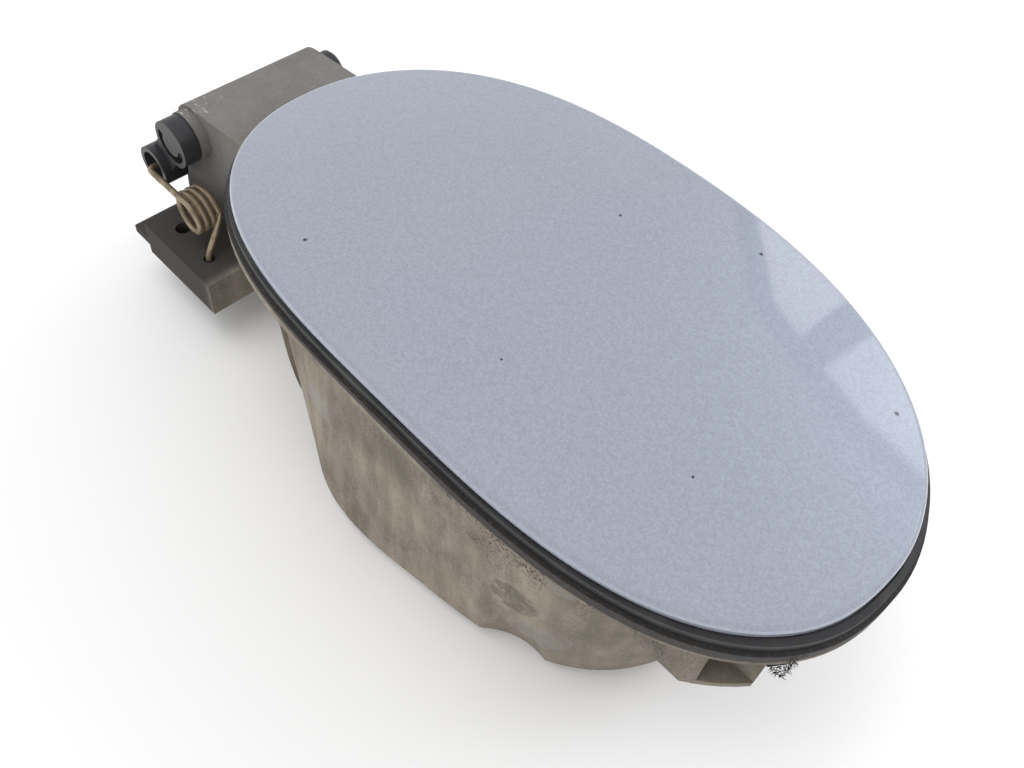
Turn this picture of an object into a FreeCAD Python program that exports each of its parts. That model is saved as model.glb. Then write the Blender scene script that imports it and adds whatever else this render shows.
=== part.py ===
import FreeCAD, Part
import os
import Sketcher
from math import cos, sin, radians, degrees, pi, copysign, sqrt, atan2, asin

# Fuel filler flap on its moulded pocket. Millimetres.
# X runs from the hinge end to the latch end, Z is up, and the pocket's base stands on Z = 0.
# The filler neck's axis is the Z axis.

doc = FreeCAD.newDocument("filler_flap")
Vec = FreeCAD.Vector
UP = Vec(0, 0, 1)
ALONG_Y = Vec(0, 1, 0)
ORIGIN = Vec(0, 0, 0)

# Sizes
sheet = doc.addObject("Spreadsheet::Sheet", "Sizes")
SIZES = [
    ("flap_half_length", 105.0, "flap centre to tip"),
    ("flap_half_width", 57.0, "flap centre to long side"),
    ("oval_power_long", 2.8, "bluntness of the oval along its length"),
    ("oval_power_wide", 2.15, "bluntness of the oval across its width"),
    ("oval_egg", -0.028, "narrowing of the oval toward the latch end"),
    ("flap_top", 96.5, "height of the flap's crown"),
    ("crown_long", 13.0, "drop from the crown to the tips"),
    ("crown_wide", 2.5, "drop from the crown to the long sides"),
    ("skin_gauge", 0.8, "steel thickness of the skin"),
    ("inner_gauge", 0.8, "steel thickness of the inner panel"),
    ("hem_depth", 3.4, "depth of the hemmed edge"),
    ("hem_reach", 8.0, "width of the folded hem"),
    ("edge_round", 1.7, "radius of the hem's outer bend"),
    ("edge_round_low", 0.7, "radius of the hem's lower bend"),
    ("pan_inset", 17.0, "oval edge to the top of the pressed pan"),
    ("pan_depth", 4.5, "depth of the pressed pan"),
    ("pan_slope", 5.0, "plan width of the pan's sloping wall"),
    ("flange_drop", 6.4, "flap surface to flange surface"),
    ("flange_gauge", 2.0, "flange thickness"),
    ("flange_half_length", 108.0, "flange centre to tip"),
    ("flange_half_width", 58.6, "flange centre to long side"),
    ("flange_lip", 1.8, "width of the flange's turned-down edge"),
    ("flange_lip_drop", 4.0, "depth of the flange's turned-down edge"),
    ("ridge_long", -56.0, "mould ridge along the pocket"),
    ("ridge_gauge", 1.8, "mould ridge thickness"),
    ("ridge_rise", 1.2, "mould ridge height"),
    ("gasket_gauge", 2.2, "gasket thickness on the flange"),
    ("gasket_setback", 1.0, "flange edge to gasket edge"),
    ("gasket_width", 7.0, "gasket width"),
    ("gasket_lip", 1.6, "width of the gasket's edge bead"),
    ("gasket_lip_rise", 0.6, "height of the gasket's edge bead"),
    ("mouth_half_length", 98.0, "pocket mouth, outside of the wall"),
    ("mouth_half_width", 52.5, "pocket mouth, outside of the wall"),
    ("mouth_low", 75.0, "height where the walls turn upright"),
    ("base_half_length", 66.0, "pocket base, outside of the wall"),
    ("base_half_width", 53.0, "pocket base, outside of the wall"),
    ("base_shift", 8.0, "pocket base centre toward the latch end"),
    ("base_power", 3.4, "bluntness of the base oval"),
    ("base_egg", 0.16, "narrowing of the base toward the latch end"),
    ("pocket_wall", 2.2, "pocket wall thickness"),
    ("pocket_floor", 3.0, "pocket floor thickness"),
    ("base_round", 7.0, "radius round the pocket's base"),
    ("valley_long", 45.0, "position of the side valley"),
    ("valley_wide", 60.5, "axis of the side valley, from the middle"),
    ("valley_radius", 19.5, "valley radius at the base"),
    ("valley_height", 84.0, "height where the valley fades out"),
    ("neck_hole_radius", 34.0, "hole in the pocket floor"),
    ("neck_ring_radius", 38.0, "raised ring round the hole"),
    ("neck_ring_height", 6.0, "top of the raised ring"),
    ("collar_bore_radius", 29.0, "sleeve bore on the filler neck"),
    ("collar_flange_radius", 41.0, "sleeve flange over the ring"),
    ("collar_flange_gauge", 2.0, "sleeve flange thickness"),
    ("collar_lip", 2.5, "sleeve wall at its upper end"),
    ("collar_top", 16.0, "upper end of the sleeve"),
    ("axis_long", -132.0, "hinge axis along the part"),
    ("axis_up", 62.4, "hinge axis height"),
    ("shaft_radius", 3.0, "hinge shaft"),
    ("shaft_clearance", 0.06, "radial clearance of the shaft in the housing"),
    ("hinge_middle", 2.0, "middle of the hinge across the part"),
    ("hinge_half_inside", 21.5, "half the inside width of the hinge box"),
    ("hinge_wall", 2.5, "hinge box wall"),
    ("hood_radius", 9.6, "outside of the round hood"),
    ("box_left", -147.0, "outer end of the hinge box"),
    ("box_low", 15.0, "underside of the hinge box"),
    ("box_right", -58.0, "inner end of the hinge box"),
    ("box_roof_right", -105.0, "where the roof meets the flange"),
    ("box_roof_gap", 2.2, "roof below the flange surface at that place"),
    ("boss_radius", 8.4, "bearing boss outside"),
    ("boss_reach", 3.2, "bearing boss beyond the hinge box"),
    ("far_boss_radius", 7.0, "far bearing boss outside"),
    ("far_boss_reach", 2.4, "far bearing boss beyond the hinge box"),
    ("arm_hub_radius", 6.2, "arm hub round the shaft"),
    ("arm_side_play", 0.8, "arm hub to hinge box wall"),
    ("arm_width", 30.0, "gooseneck width"),
    ("neck_radius", 42.0, "gooseneck mid radius round the axis"),
    ("arm_gauge", 3.6, "gooseneck thickness"),
    ("neck_start", -101.0, "angle where the gooseneck leaves the hub"),
    ("neck_end", 22.0, "angle where the gooseneck ends"),
    ("foot_end", -44.0, "inner end of the arm's foot"),
    ("foot_gauge", 3.0, "thickness of the arm's foot"),
    ("foot_width", 26.0, "width of the arm's foot"),
    ("screw_first", -78.0, "first pair of screws"),
    ("screw_pitch", 24.0, "pair to pair"),
    ("screw_half_gauge", 8.0, "screws from the arm's middle"),
    ("screw_head_radius", 3.6, "screw head"),
    ("screw_head_height", 2.0, "screw head"),
    ("screw_radius", 1.9, "screw shank"),
    ("screw_drive_length", 3.6, "cross slot length"),
    ("screw_drive_width", 0.9, "cross slot width"),
    ("screw_drive_depth", 1.0, "cross slot depth"),
    ("lever_gap", 0.4, "lever to bearing boss"),
    ("lever_hub_radius", 8.0, "lever hub"),
    ("lever_gauge", 5.6, "lever thickness"),
    ("lever_throw", 18.0, "shaft to spring pin"),
    ("lever_angle", -125.0, "spring pin direction when shut"),
    ("lever_eye_radius", 7.0, "lever end round the pin"),
    ("lever_eye_rise", 2.5, "lever end beyond the hub's face"),
    ("lever_web", 10.0, "width of the web between hub and eye"),
    ("lever_recess_radius", 5.2, "round recess in the lever end"),
    ("lever_recess_depth", 3.6, "round recess in the lever end"),
    ("kidney_radius", 6.4, "curved recess in the hub, outside"),
    ("kidney_width", 2.3, "curved recess in the hub"),
    ("kidney_sweep", 210.0, "curved recess in the hub"),
    ("kidney_depth", 1.8, "curved recess in the hub"),
    ("shaft_overrun", 1.0, "shaft beyond the lever and the cap seat"),
    ("cap_radius", 6.4, "shaft cap"),
    ("cap_height", 3.6, "shaft cap"),
    ("cap_gap", 0.4, "shaft cap to bearing boss"),
    ("wire_radius", 1.0, "spring wire"),
    ("coil_radius", 6.6, "spring coil, mean"),
    ("coil_turns", 3.0, "spring coil"),
    ("coil_pitch", 2.6, "spring coil"),
    ("coil_long", -121.5, "spring coil axis"),
    ("coil_up", 43.0, "spring coil axis"),
    ("coil_near", -36.2, "near end of the spring coil"),
    ("anchor_long", -114.0, "spring anchor"),
    ("anchor_wide", -35.4, "spring anchor"),
    ("anchor_hole_depth", 6.0, "spring anchor"),
    ("anchor_play", 0.9, "spring wire in its anchor"),
    ("bracket_near", -42.5, "near face of the spring bracket"),
    ("bracket_left", -141.0, "outer end of the spring bracket"),
    ("bracket_right", -104.0, "inner end of the spring bracket"),
    ("bracket_top", 28.0, "top of the spring bracket"),
    ("bracket_low", 14.0, "underside of the spring bracket"),
    ("bracket_wall", 2.4, "spring bracket wall"),
    ("ear_left", -149.0, "outer end of the screw ear"),
    ("ear_top", 21.0, "top of the screw ear"),
    ("ear_gauge", 3.2, "thickness of the screw ear"),
    ("ear_hole_long", -131.0, "screw hole"),
    ("ear_hole_wide", -34.0, "screw hole"),
    ("ear_hole_radius", 2.6, "screw hole"),
    ("cradle_right", 96.0, "outer end of the latch cradle"),
    ("cradle_left", 60.0, "inner end of the latch cradle"),
    ("cradle_near", -42.5, "near wall of the latch cradle"),
    ("cradle_far", -29.5, "far wall of the latch cradle"),
    ("cradle_low", 58.0, "underside of the latch cradle"),
    ("cradle_wall", 2.0, "latch cradle wall"),
    ("bolt_hole_radius", 3.0, "lock bolt hole in the pocket wall"),
    ("bolt_wide", -36.0, "lock bolt hole"),
    ("bolt_up", 67.0, "lock bolt hole"),
    ("bolt_boss_radius", 5.4, "boss round the lock bolt hole"),
    ("bolt_boss_left", 66.0, "inner end of the lock bolt boss"),
    ("bolt_boss_right", 86.0, "outer end of the lock bolt boss"),
    ("swing_play", 1.5, "gooseneck to housing"),
    ("seat_depth", 0.3, "flat seat under a screw head"),
    ("felt_left", 93.0, "felt block"),
    ("felt_right", 100.0, "felt block"),
    ("felt_near", -29.2, "felt block"),
    ("felt_far", -22.0, "felt block"),
    ("felt_low", 66.0, "felt block"),
    ("felt_play", 0.3, "felt block to the flange's turned-down edge"),
    ("striker_long", 58.0, "latch tongue"),
    ("striker_width", 8.6, "latch tongue"),
    ("striker_gauge", 4.0, "latch tongue"),
    ("striker_low", 61.0, "lower end of the latch tongue"),
    ("striker_hole_radius", 3.2, "hole for the lock bolt"),
]
row = 0
for name, value, note in SIZES:
    row = row + 1
    sheet.set("A%d" % row, name)
    sheet.set("B%d" % row, str(value))
    sheet.set("C%d" % row, note)
    sheet.setAlias("B%d" % row, name)
doc.recompute()


def size(name):
    """Value of one named size."""
    return float(getattr(sheet, name))


# Small helpers
def full_formula(formula):
    """Formula with the sheet's name before each size."""
    names = [entry[0] for entry in SIZES]
    words = formula.replace("(", " ( ").replace(")", " ) ").split()
    text = " ".join(["Sizes." + w if w in names else w for w in words])
    return text.replace("cos (", "cos(").replace("sin (", "sin(")


def bind(thing, **rules):
    """Bind an object's properties to sheet formulas; two underlines stand for a dot."""
    for prop, formula in rules.items():
        thing.setExpression(prop.replace("__", "."), full_formula(formula))
    return thing


def place(thing, x="0", y="0", z="0"):
    """Bind an object's position."""
    rules = {"Placement__Base__x": x, "Placement__Base__y": y, "Placement__Base__z": z}
    return bind(thing, **rules)


def box(name, x0, x1, y0, y1, z0, z1):
    """Block between formulas for its six faces."""
    thing = doc.addObject("Part::Box", name)
    bind(thing, Length="( %s ) - ( %s )" % (x1, x0), Width="( %s ) - ( %s )" % (y1, y0))
    bind(thing, Height="( %s ) - ( %s )" % (z1, z0))
    return place(thing, x0, y0, z0)


def post(name, radius, x, y, z0, z1):
    """Upright cylinder."""
    thing = doc.addObject("Part::Cylinder", name)
    bind(thing, Radius=radius, Height="( %s ) - ( %s )" % (z1, z0))
    return place(thing, x, y, z0)


def roller(name, radius, x, z, y0, y1):
    """Cylinder lying along Y."""
    thing = doc.addObject("Part::Cylinder", name)
    bind(thing, Radius=radius, Height="( %s ) - ( %s )" % (y1, y0))
    thing.Placement = FreeCAD.Placement(ORIGIN, FreeCAD.Rotation(Vec(1, 0, 0), -90))
    return place(thing, x, y0, z)


def joined(name, parts):
    """Union of document objects."""
    thing = doc.addObject("Part::MultiFuse", name)
    thing.Shapes = parts
    thing.Refine = True
    return thing


def cut(name, base, tool):
    """Base less tool, as document objects."""
    thing = doc.addObject("Part::Cut", name)
    thing.Base = base
    thing.Tool = tool
    return thing


def feature(name, shape):
    """Object that holds a shape made from the sheet's values in code."""
    thing = doc.addObject("Part::Feature", name)
    thing.Shape = shape
    thing.Placement = shape.Placement
    return thing


# Oval outlines and crowned sheets
OVAL_POINTS = 24
ROUND_STEPS = 3
CROWN_REACH = 165.0


def oval_points(half_x, half_y, z, power_x=None, power_y=None, shift=0.0, egg=None):
    """Points of a blunt oval."""
    px = power_x or size("oval_power_long")
    py = power_y or size("oval_power_wide")
    narrowing = size("oval_egg") if egg is None else egg
    points = []
    for k in range(OVAL_POINTS):
        t = 2 * pi * k / OVAL_POINTS
        x = half_x * copysign(abs(cos(t)) ** (2 / px), cos(t))
        y = half_y * copysign(abs(sin(t)) ** (2 / py), sin(t))
        points.append(Vec(x + shift, y * (1 - narrowing * x / half_x), z))
    return points


def closed_curve(points):
    """Closed smooth curve through points."""
    curve = Part.BSplineCurve()
    curve.interpolate(points, True)
    return Part.Wire([curve.toShape()])


def oval_wire(half_x, half_y, z):
    """Outline of the flap's own oval form, at any size."""
    return closed_curve(oval_points(half_x, half_y, z))


def oval_prism(half_x, half_y):
    """Upright oval column, tall enough for the whole part."""
    low = -20.0
    high = 140.0
    return Part.Face(oval_wire(half_x, half_y, low)).extrude(UP * (high - low))


def crown_radius(half, drop):
    """Radius of an arc that falls by drop over half its chord."""
    return (half * half + drop * drop) / (2 * drop)


def crowned(drop, depth):
    """Thick sheet under the flap's crown, from drop to drop + depth below it."""
    long_radius = crown_radius(size("flap_half_length"), size("crown_long"))
    wide_radius = crown_radius(size("flap_half_width"), size("crown_wide"))
    top = size("flap_top")
    reach = size("flange_half_width") + 12.0
    spin = degrees(asin(CROWN_REACH / (long_radius - drop - depth)))

    def arc_points(radius):
        centre = top - wide_radius
        side = sqrt(radius * radius - reach * reach)
        return Vec(0, -reach, centre + side), Vec(0, 0, centre + radius), Vec(0, reach, centre + side)

    a, b, c = arc_points(wide_radius - drop)
    d, e, f = arc_points(wide_radius - drop - depth)
    edges = [Part.Arc(a, b, c).toShape(), Part.makeLine(c, f), Part.Arc(f, e, d).toShape(), Part.makeLine(d, a)]
    face = Part.Face(Part.Wire(edges))
    pivot = Vec(0, 0, top - long_radius)
    face.rotate(pivot, ALONG_Y, -spin)
    return face.revolve(pivot, ALONG_Y, 2 * spin)


def crown_height(x, y, drop=0.0):
    """Height of the crowned surface at a plan position."""
    long_radius = crown_radius(size("flap_half_length"), size("crown_long"))
    wide_radius = crown_radius(size("flap_half_width"), size("crown_wide"))
    fall = wide_radius - sqrt(wide_radius ** 2 - y * y)
    ring = long_radius - fall - drop
    return size("flap_top") - long_radius + sqrt(ring * ring - x * x)


# Flap: a painted skin hemmed round a pressed inner panel
flap_x = size("flap_half_length")
flap_y = size("flap_half_width")
gauge = size("skin_gauge")
hem_wall = gauge + 0.1
slot_gauge = size("inner_gauge")
hem_depth = size("hem_depth")


def rim_edges(shape, z_of):
    """Edges of the outline whose points lie on the surface z_of."""
    found = []
    for edge in shape.Edges:
        middle = edge.valueAt((edge.FirstParameter + edge.LastParameter) / 2)
        if abs(middle.z - z_of(middle.x, middle.y)) < 0.05 and edge.Length > 2 * flap_y:
            found.append(edge)
    return found


blank = crowned(0.0, hem_depth).common(oval_prism(flap_x, flap_y))
slot_top = gauge + 0.4
inner_oval_x = flap_x - hem_wall - size("edge_round_low")
inner_oval_y = flap_y - hem_wall - size("edge_round_low")
slot = crowned(slot_top, slot_gauge).common(oval_prism(inner_oval_x, inner_oval_y))
hollow = crowned(gauge, hem_depth).common(oval_prism(flap_x - size("hem_reach"), flap_y - size("hem_reach")))
blank = blank.cut([slot, hollow]).Solids[0]
blank = blank.makeFillet(size("edge_round"), rim_edges(blank, lambda x, y: crown_height(x, y)))
low_edges = [e for e in rim_edges(blank, lambda x, y: crown_height(x, y, hem_depth)) if e.BoundBox.XMax > flap_x - 1]
blank = blank.makeFillet(size("edge_round_low"), low_edges)
flap_skin = feature("flap_skin", blank)

pan_x = flap_x - size("pan_inset")
pan_y = flap_y - size("pan_inset")
slope = size("pan_slope")
pan_drop = slot_top + size("pan_depth")


def pan_body(inset):
    """Tapered oval plug of the pressed pan."""
    wide = oval_wire(pan_x - inset, pan_y - inset, size("flap_top"))
    narrow_z = size("flap_top") - size("crown_long") - pan_drop - 2.0
    fall = size("flap_top") - narrow_z
    lean = slope * fall / (size("pan_depth") + size("crown_long"))
    narrow = oval_wire(pan_x - inset - lean, pan_y - inset - lean, narrow_z)
    return Part.makeLoft([wide, narrow], True)


panel = crowned(slot_top, slot_gauge).common(oval_prism(inner_oval_x, inner_oval_y))
plug = crowned(slot_top, size("pan_depth") + slot_gauge).common(pan_body(0.0))
void = crowned(slot_top - 1.0, size("pan_depth") + 1.0).common(pan_body(slot_gauge))
flap_inner = feature("flap_inner", panel.fuse(plug).cut(void).removeSplitter().Solids[0])

# Hinge arm: hub, straight shank, gooseneck arc and a foot under the inner panel
pan_under = slot_top + size("pan_depth") + slot_gauge
middle = "hinge_middle"
arm_low = "hinge_middle - arm_width / 2"
arm_high = "hinge_middle + arm_width / 2"
hub_low = "hinge_middle - hinge_half_inside + arm_side_play"
hub_high = "hinge_middle + hinge_half_inside - arm_side_play"
hub = roller("arm_hub", "arm_hub_radius", "axis_long", "axis_up", hub_low, hub_high)


def ring_sector(inner, outer, start, end, y0, y1):
    """Part of a tube round the hinge axis, between two angles counted up from the +X side."""
    centre = Vec(size("axis_long"), y0, size("axis_up"))
    flat = FreeCAD.Rotation(Vec(1, 0, 0), 90)
    wide = Part.makeCylinder(outer, y1 - y0, ORIGIN, UP, end - start)
    wide = wide.cut(Part.makeCylinder(inner, y1 - y0, ORIGIN, UP, end - start))
    wide.Placement = FreeCAD.Placement(centre + ALONG_Y * (y1 - y0), flat)
    wide.rotate(Vec(size("axis_long"), 0, size("axis_up")), ALONG_Y, -start)
    return wide


arm_y0 = size("hinge_middle") - size("arm_width") / 2
arm_y1 = arm_y0 + size("arm_width")
neck_in = size("neck_radius") - size("arm_gauge") / 2
neck_out = neck_in + size("arm_gauge")
pivot = Vec(size("axis_long"), 0, size("axis_up"))
crown_pivot = Vec(0, 0, size("flap_top") - crown_radius(flap_x, size("crown_long")))
swing_play = size("swing_play")
swing = ring_sector(neck_in - swing_play, neck_out + swing_play, -40.0, 30.0, arm_y0 - swing_play, arm_y1 + swing_play)
goose = ring_sector(neck_in, neck_out, size("neck_start"), size("neck_end") + 8.0, arm_y0, arm_y1)
goose = goose.cut(crowned(-30.0, 30.0 + pan_under))
shank = Part.makeBox(neck_out, size("arm_width"), size("arm_gauge"))
shank.translate(pivot + Vec(0, arm_y0, 0))
shank.rotate(pivot, ALONG_Y, -size("neck_start"))
foot_left = size("axis_long") + neck_in * cos(radians(size("neck_end")))
foot_y0 = size("hinge_middle") - size("foot_width") / 2
foot_plan = Part.makeBox(size("foot_end") - foot_left, size("foot_width"), 100.0)
foot_plan.translate(Vec(foot_left, foot_y0, 30.0))
foot = crowned(pan_under, size("foot_gauge")).common(foot_plan)

# Screws stand square to the crowned foot
SCREW_PLACES = []
for pair in range(2):
    for side in (-1, 1):
        x = size("screw_first") + pair * size("screw_pitch")
        SCREW_PLACES.append((x, size("hinge_middle") + side * size("screw_half_gauge")))


def on_crown(shape, x, y, drop):
    """Move a shape drawn at the origin, pointing down, square to the crown at a plan position."""
    long_radius = crown_radius(flap_x, size("crown_long"))
    fall = crown_height(0, y, drop)
    moved = shape.copy()
    moved.translate(Vec(0, y, fall))
    moved.rotate(crown_pivot, ALONG_Y, degrees(atan2(x, long_radius)))
    return moved


def screw_shape():
    """Round-headed cross-slot screw, head down, seat at the origin."""
    head_height = size("screw_head_height")
    reach = size("foot_gauge") + size("inner_gauge") - size("seat_depth") + 1.0
    head = Part.makeCylinder(size("screw_head_radius"), head_height, Vec(0, 0, -head_height))
    low_edges = [e for e in head.Edges if abs(e.CenterOfMass.z + head_height) < 0.01]
    head = head.makeFillet(head_height * 0.6, low_edges)
    body = head.fuse(Part.makeCylinder(size("screw_radius"), reach))
    long_slot = size("screw_drive_length")
    wide_slot = size("screw_drive_width")
    for a, b in ((long_slot, wide_slot), (wide_slot, long_slot)):
        slot_box = Part.makeBox(a, b, size("screw_drive_depth"))
        slot_box.translate(Vec(-a / 2, -b / 2, -head_height))
        body = body.cut(slot_box)
    return body.removeSplitter()


foot_under = pan_under + size("foot_gauge")
seat_drop = foot_under - size("seat_depth")
hole = Part.makeCylinder(size("screw_radius"), 12.0, Vec(0, 0, -2.0))
seat = Part.makeCylinder(size("screw_head_radius") + 0.25, 6.0, Vec(0, 0, -6.0))
holes = [on_crown(hole, x, y, seat_drop) for x, y in SCREW_PLACES]
seats = [on_crown(seat, x, y, seat_drop) for x, y in SCREW_PLACES]
screws = [on_crown(screw_shape(), x, y, seat_drop) for x, y in SCREW_PLACES]
arm_screws = feature("arm_screws", Part.makeCompound(screws))
flap_inner.Shape = flap_inner.Shape.cut(Part.makeCompound(holes))
arm = goose.fuse([shank, foot]).cut(Part.makeCompound(holes)).cut(Part.makeCompound(seats))
arm_body = feature("arm_body", arm)
arm_solid = joined("arm_solid", [arm_body, hub])
arm_bore = roller("arm_bore", "shaft_radius", "axis_long", "axis_up", "-200", "200")
hinge_arm = cut("hinge_arm", arm_solid, arm_bore)

# Shaft, lever and cap
near_wall = "( hinge_middle - hinge_half_inside - hinge_wall )"
far_wall = "( hinge_middle + hinge_half_inside + hinge_wall )"
lever_back = near_wall + " - boss_reach - lever_gap"
lever_face = lever_back + " - lever_gauge"
eye_face = lever_face + " - lever_eye_rise"
cap_back = far_wall + " + far_boss_reach + cap_gap"
cap_face = cap_back + " + cap_height"
shaft_near = lever_face + " + kidney_depth + shaft_overrun"
shaft_far = cap_back + " + cap_height / 2"


def sketch_on(body, role):
    """Sketch on one of the body's own origin planes."""
    sketch = body.newObject("Sketcher::SketchObject", body.Name + "_outline")
    planes = [f for f in body.Origin.OriginFeatures if f.Role == role]
    sketch.AttachmentSupport = [(planes[0], "")]
    sketch.MapMode = "FlatFace"
    return sketch


def turned(name, corners):
    """Body turned about Z from corners (radius formula, height formula)."""
    body = doc.addObject("PartDesign::Body", name)
    sketch = sketch_on(body, "XZ_Plane")
    count = len(corners)
    start = [Vec(10.0 + 5.0 * cos(2 * pi * k / count), 5.0 * sin(2 * pi * k / count), 0) for k in range(count)]
    for k in range(count):
        sketch.addGeometry(Part.LineSegment(start[k], start[(k + 1) % count]), False)
    for k in range(count):
        sketch.addConstraint(Sketcher.Constraint("Coincident", k, 2, (k + 1) % count, 1))
    for k in range(count):
        for kind, formula in zip(("DistanceX", "DistanceY"), corners[k]):
            spot = start[k].x if kind == "DistanceX" else start[k].y
            index = sketch.addConstraint(Sketcher.Constraint(kind, -1, 1, k, 1, spot))
            sketch.setExpression("Constraints[%d]" % index, full_formula(formula))
    spin = body.newObject("PartDesign::Revolution", name + "_turn")
    spin.Profile = sketch
    spin.ReferenceAxis = (sketch, ["V_Axis"])
    spin.Angle = 360.0
    body.Tip = spin
    return body


def lie_along_y(body, x, y, z):
    """Lay a turned body along Y at a bound position."""
    body.Placement = FreeCAD.Placement(ORIGIN, FreeCAD.Rotation(Vec(1, 0, 0), -90))
    return place(body, x, y, z)


shaft_length = "( %s ) - ( %s )" % (shaft_far, shaft_near)
hinge_shaft = turned("hinge_shaft", [
    ("0", "0"), ("shaft_radius - 0.5", "0"), ("shaft_radius", "0.5"),
    ("shaft_radius", shaft_length + " - 0.5"), ("shaft_radius - 0.5", shaft_length), ("0", shaft_length)])
lie_along_y(hinge_shaft, "axis_long", shaft_near, "axis_up")
shaft_cap = turned("shaft_cap", [
    ("0", "cap_height / 2"), ("shaft_radius", "cap_height / 2"), ("shaft_radius", "0"), ("cap_radius", "0"),
    ("cap_radius", "cap_height - 1"), ("cap_radius - 1", "cap_height"), ("0", "cap_height")])
lie_along_y(shaft_cap, "axis_long", cap_back, "axis_up")

lever_turn = radians(size("lever_angle"))
pin_x = size("axis_long") + size("lever_throw") * cos(lever_turn)
pin_z = size("axis_up") + size("lever_throw") * sin(lever_turn)
pin_long = "axis_long + lever_throw * cos ( lever_angle * 1deg )"
pin_up = "axis_up + lever_throw * sin ( lever_angle * 1deg )"
lever_hub = roller("lever_hub", "lever_hub_radius", "axis_long", "axis_up", lever_face, lever_back)
lever_eye = roller("lever_eye", "lever_eye_radius", pin_long, pin_up, eye_face, lever_back)
web = doc.addObject("Part::Box", "lever_web_block")
bind(web, Length="lever_throw", Width="lever_gauge", Height="lever_web")
lever_y0 = size("hinge_middle") - size("hinge_half_inside") - size("hinge_wall") - size("boss_reach")
lever_y0 = lever_y0 - size("lever_gap") - size("lever_gauge")
web.Placement = FreeCAD.Placement(Vec(0, 0, -size("lever_web") / 2), FreeCAD.Rotation())
web_turn = FreeCAD.Placement(pivot + Vec(0, lever_y0, 0), FreeCAD.Rotation(ALONG_Y, -size("lever_angle")))
web.Placement = web_turn.multiply(web.Placement)
lever_block = joined("lever_block", [lever_hub, lever_eye, web])
recess = roller("lever_recess", "lever_recess_radius", pin_long, pin_up,
                eye_face + " - 1", eye_face + " + lever_recess_depth")
kidney_wide = roller("kidney_wide", "kidney_radius", "axis_long", "axis_up",
                     lever_face + " - 1", lever_face + " + kidney_depth")
kidney_core = roller("kidney_core", "kidney_radius - kidney_width", "axis_long", "axis_up",
                     lever_face + " - 2", lever_face + " + kidney_depth + 1")
bind(kidney_wide, Angle="kidney_sweep")
kidney = cut("kidney", kidney_wide, kidney_core)
lever_bore = roller("lever_bore", "shaft_radius", "axis_long", "axis_up", shaft_near, lever_back + " + 1")
lever_cuts = doc.addObject("Part::Compound", "lever_cuts")
lever_cuts.Links = [recess, kidney, lever_bore]
spring_lever = cut("spring_lever", lever_block, lever_cuts)

# Spring: a wound coil with one leg over to the lever and one down into the bracket
coil_x = size("coil_long")
coil_z = size("coil_up")
coil_r = size("coil_radius")
wire = size("wire_radius")
eye_y = lever_y0 - size("lever_eye_rise")
leg_y = eye_y - wire - 0.8
pin_out = atan2(pin_z - coil_z, pin_x - coil_x)
pin_far = sqrt((pin_z - coil_z) ** 2 + (pin_x - coil_x) ** 2)
take_off = pin_out - atan2(sqrt(pin_far ** 2 - coil_r ** 2), coil_r)
sweep = take_off + 2 * pi * size("coil_turns")
coil_y0 = size("coil_near")
coil_depth = size("coil_pitch") * size("coil_turns")
STEPS_PER_TURN = 12
steps = int(STEPS_PER_TURN * sweep / (2 * pi))
coil_points = []
for k in range(steps + 1):
    part = k / steps
    angle = take_off - part * sweep
    coil_points.append(Vec(coil_x + coil_r * cos(angle), coil_y0 + part * coil_depth, coil_z + coil_r * sin(angle)))
pin_foot = Vec(pin_x, eye_y + size("lever_recess_depth") - 0.4, pin_z)
pin_bend = Vec(pin_x, leg_y, pin_z)
toward_coil = (coil_points[0] - pin_bend).normalize()
bend = 2.2
anchor_top = Vec(size("anchor_long"), size("anchor_wide"), size("bracket_top"))
anchor_end = anchor_top - UP * (size("anchor_hole_depth") - 0.5)
coil_end = coil_points[-1]
leg_in = [pin_foot, pin_bend + ALONG_Y * bend, pin_bend + ALONG_Y * 0.65 + toward_coil * 0.65]
leg_in = leg_in + [pin_bend + toward_coil * bend, pin_bend + (coil_points[0] - pin_bend) * 0.55]
leg_out = [coil_end + (anchor_top - coil_end) * 0.45, anchor_top + UP * 1.0, anchor_end]
spine = Part.BSplineCurve()
spine.interpolate(leg_in + coil_points + leg_out)
spine_wire = Part.Wire([spine.toShape()])
ring = Part.Wire([Part.makeCircle(wire, pin_foot, spine.tangent(spine.FirstParameter)[0])])
over_centre_spring = feature("over_centre_spring", spine_wire.makePipeShell([ring], True, False))

# Rubber sleeve on the filler neck
neck_collar = turned("neck_collar", [
    ("collar_bore_radius", "0"), ("neck_hole_radius", "0"), ("neck_hole_radius", "neck_ring_height"),
    ("collar_flange_radius", "neck_ring_height"), ("collar_flange_radius", "neck_ring_height + collar_flange_gauge"),
    ("collar_bore_radius + 2 * collar_lip", "neck_ring_height + collar_flange_gauge"),
    ("collar_bore_radius + collar_lip", "collar_top"), ("collar_bore_radius", "collar_top")])

# Flange and gasket follow the flap's crown
flange_x = size("flange_half_length")
flange_y = size("flange_half_width")
flange_drop = size("flange_drop")
wall = size("pocket_wall")
flange = crowned(flange_drop, size("flange_lip_drop")).common(oval_prism(flange_x, flange_y))
lip_in = oval_prism(flange_x - size("flange_lip"), flange_y - size("flange_lip"))
flange_under = crowned(flange_drop + size("flange_gauge"), size("flange_lip_drop"))
flange = flange.cut(flange_under.common(lip_in))
setback = size("gasket_setback")
seal_x = flange_x - setback
seal_y = flange_y - setback
seal_w = size("gasket_width")
seal_top = flange_drop - size("gasket_gauge")
seal_in = oval_prism(seal_x - seal_w, seal_y - seal_w)
lip = size("gasket_lip")
bead_rise = size("gasket_lip_rise")
seal = crowned(seal_top - bead_rise, size("gasket_gauge") + bead_rise).common(oval_prism(seal_x, seal_y))
over_seal = crowned(seal_top - 2 * bead_rise, 2 * bead_rise).common(oval_prism(seal_x - lip, seal_y - lip))
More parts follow.
